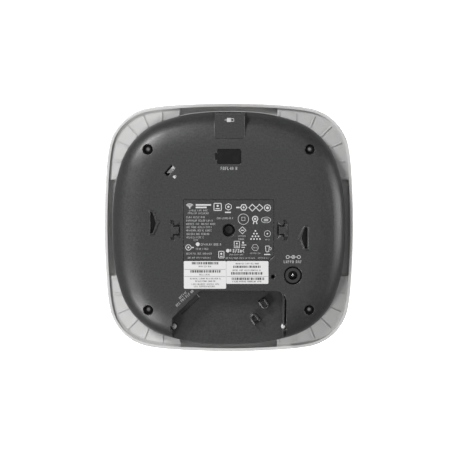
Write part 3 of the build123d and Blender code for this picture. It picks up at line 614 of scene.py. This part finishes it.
# second row: thin ring with a square, disc over two feet, oval with bars
panel.arc(9.4, 7.2, 3.4, 0.28)
panel.outline(9.4, 7.4, 1.5, 4, 0.3, 45.0)
panel.arc(17.0, 7.4, 1.7, 0.6)
panel.dot(17.0, 7.4, 0.7)
panel.line(16.2, 5.6, 15.8, 4.0, 0.6)
panel.line(17.8, 5.6, 18.2, 4.0, 0.6)
panel.outline(24.0, 6.7, 3.0, 20, 0.35, 0.0, 0.62)
panel.bar(22.6, 6.9, 25.4, 7.4)
panel.bar(22.6, 5.9, 25.4, 6.4)

# third row: tilted square, triangle of dots, faint ring, small tile and its neighbour
panel.outline(8.8, 0.0, 2.3, 4, 0.5)
panel.bar(7.8, -0.3, 9.8, 0.3)
for i in range(4):
    for k in range(i + 1):
        panel.dot(17.2 + (k - i / 2) * 1.9, -0.4 - i * 1.75, 0.55)
panel.arc(24.9, -2.2, 2.0, 0.25)
panel.dot(24.9, -2.2, 0.5)
panel.path([(3.5, -11.3), (7.0, -11.3), (7.0, -7.1), (3.5, -7.1)], 0.4)
panel.dot(5.25, -8.6, 0.55)
panel.bar(4.3, -10.5, 6.2, -10.0)
panel.dot(9.2, -8.0, 0.7)
panel.bar(8.2, -9.8, 11.3, -9.3)
panel.bar(8.2, -11.3, 10.4, -10.8)

# fourth row: disc, ring with a dot, disc with a bar and heavy print, hexagon, cup, corner tile
panel.dot(-20.0, -9.0, 1.25)
panel.arc(-26.0, -11.1, 1.75, 0.4)
panel.dot(-26.0, -11.1, 0.6)
panel.bar(-23.9, -11.5, -22.6, -10.8)
panel.dot(-0.6, -13.2, 1.2)
panel.bar(0.9, -13.8, 1.5, -12.2)
panel.row(2.6, 11.4, -14.4, -12.2, dice, 0.2)
panel.outline(17.0, -11.2, 2.2, 6, 0.25, 0.0)
small.row(15.6, 18.6, -11.6, -10.9, dice, 0.16)
panel.path([(23.6, -10.2), (26.2, -10.2), (25.8, -13.9), (24.0, -13.9)], 0.4)
panel.arc(26.5, -11.9, 0.9, 0.35, -80, 160)
panel.bar(22.8, -16.0, 26.7, -15.3)
panel.path([(-6.5, -17.9), (-3.1, -17.9), (-3.1, -13.6), (-6.5, -13.6)], 0.45)
panel.dot(-4.8, -15.2, 0.7)
panel.bar(-5.7, -17.1, -3.9, -16.6)
panel.done(white_ink)
small.done(thin_ink)

# ---------------------------------------------------------------- marks beside the sockets
# The same white print on the flat back: a row of capitals-like marks under the console port, a
# plug sign on the USB block, a padlock by the lock slot and a polarity sign by the power socket.

marks = Ink("socket_marks", 0.0, film)
marks.row(-5.2, 5.9, 38.95, 40.95, dice, 0.13)
marks.bar(-2.6, 70.9, -1.2, 71.3)
marks.bar(-1.2, 69.8, 1.4, 72.4)
marks.path([(1.4, 70.2), (3.2, 70.2), (3.2, 72.0), (1.4, 72.0)], 0.3)
for x in (38.0, 41.6, 45.2):
    marks.arc(x, -17.3, 1.0, 0.38)
marks.bar(39.0, -17.5, 40.6, -17.1)
marks.bar(42.6, -17.5, 44.2, -17.1)
marks.dot(41.6, -17.3, 0.45)
marks.row(35.5, 47.7, -21.3, -19.4, dice, 0.12)
marks.done(thin_ink)

padlock = Ink("padlock_mark", 0.0, film, (-34.7, 34.7), -45.0)
padlock.fill([(-0.9, -1.1), (0.9, -1.1), (0.9, 0.2), (-0.9, 0.2)])
padlock.arc(0.0, 0.25, 0.6, 0.28, 0, 180)
padlock.done(thin_ink)

# ---------------------------------------------------------------- print beside the recess
# Two rows of print that follow the slanted wall over the network socket.

slanted = Ink("recess_print", 0.0, film, (-28.7, -43.0), 43.0)
slanted.row(-3.1, 3.4, 0.6, 2.1, dice)
slanted.row(-7.9, 7.9, -1.7, -0.1, dice)
slanted.done(thin_ink)

# ---------------------------------------------------------------- labels
# Two coated-paper labels with thermal print: rows of small print, and bars that carry no code.


def paper_texture(spot):
    fibre = spot.grain(0.0005, 3.0)
    return {
        "Base Color": fibre.blend((0.45, 0.45, 0.45), (0.49, 0.49, 0.486)),
        "Roughness": 0.55 + fibre * 0.15,
        "Normal": bump(fibre, 0.00001, 0.5),
    }


paper = material("label_paper", paper_texture)
wear(paper, "product_label", "serial_label")
thermal_ink = material("thermal_ink", coated((0.035, 0.035, 0.036), (0.07, 0.07, 0.07), 0.0008, 0.5))


def bars(ink, x0, x1, y0, y1):
    """A row of upright bars of uneven width."""
    x = x0
    while x < x1:
        wide = dice.choice((0.4, 0.6, 0.8, 1.1))
        ink.bar(x, y0, min(x + wide, x1), y1)
        x += wide + dice.choice((0.25, 0.35, 0.5))


label_top = 0.12
label_film = 0.015
product = Ink("product_print", label_top, label_film)
bars(product, -23.8, -6.5, -22.1, -20.5)
product.row(-19.4, -10.7, -23.9, -22.9, dice, 0.2)
product.bar(-28.6, -25.4, -2.1, -25.2)
bars(product, -24.9, -5.1, -27.4, -25.8)
product.row(-18.9, -11.3, -29.2, -28.2, dice, 0.2)
product.bar(-28.6, -30.0, -2.1, -29.8)
product.row(-24.9, -5.1, -31.8, -30.8, dice, 0.2)
product.row(-21.6, -8.3, -33.5, -32.5, dice, 0.2)
product.row(-24.0, -6.0, -35.4, -34.4, dice, 0.2)
product.row(-22.5, -8.5, -36.9, -35.9, dice, 0.2)
product.done(thermal_ink)

serial = Ink("serial_print", label_top, label_film)
serial.row(4.5, 20.0, -22.1, -21.1, dice, 0.2)
bars(serial, 2.9, 20.9, -24.3, -22.9)
serial.row(2.5, 21.5, -26.4, -25.4, dice, 0.2)
bars(serial, 1.5, 22.2, -28.7, -27.1)
serial.bar(-1.2, -30.05, 25.2, -29.85)
bars(serial, 1.9, 22.8, -32.2, -30.6)
serial.row(2.4, 22.0, -33.7, -32.7, dice, 0.2)
serial.done(thermal_ink)

bpy.context.view_layer.update()
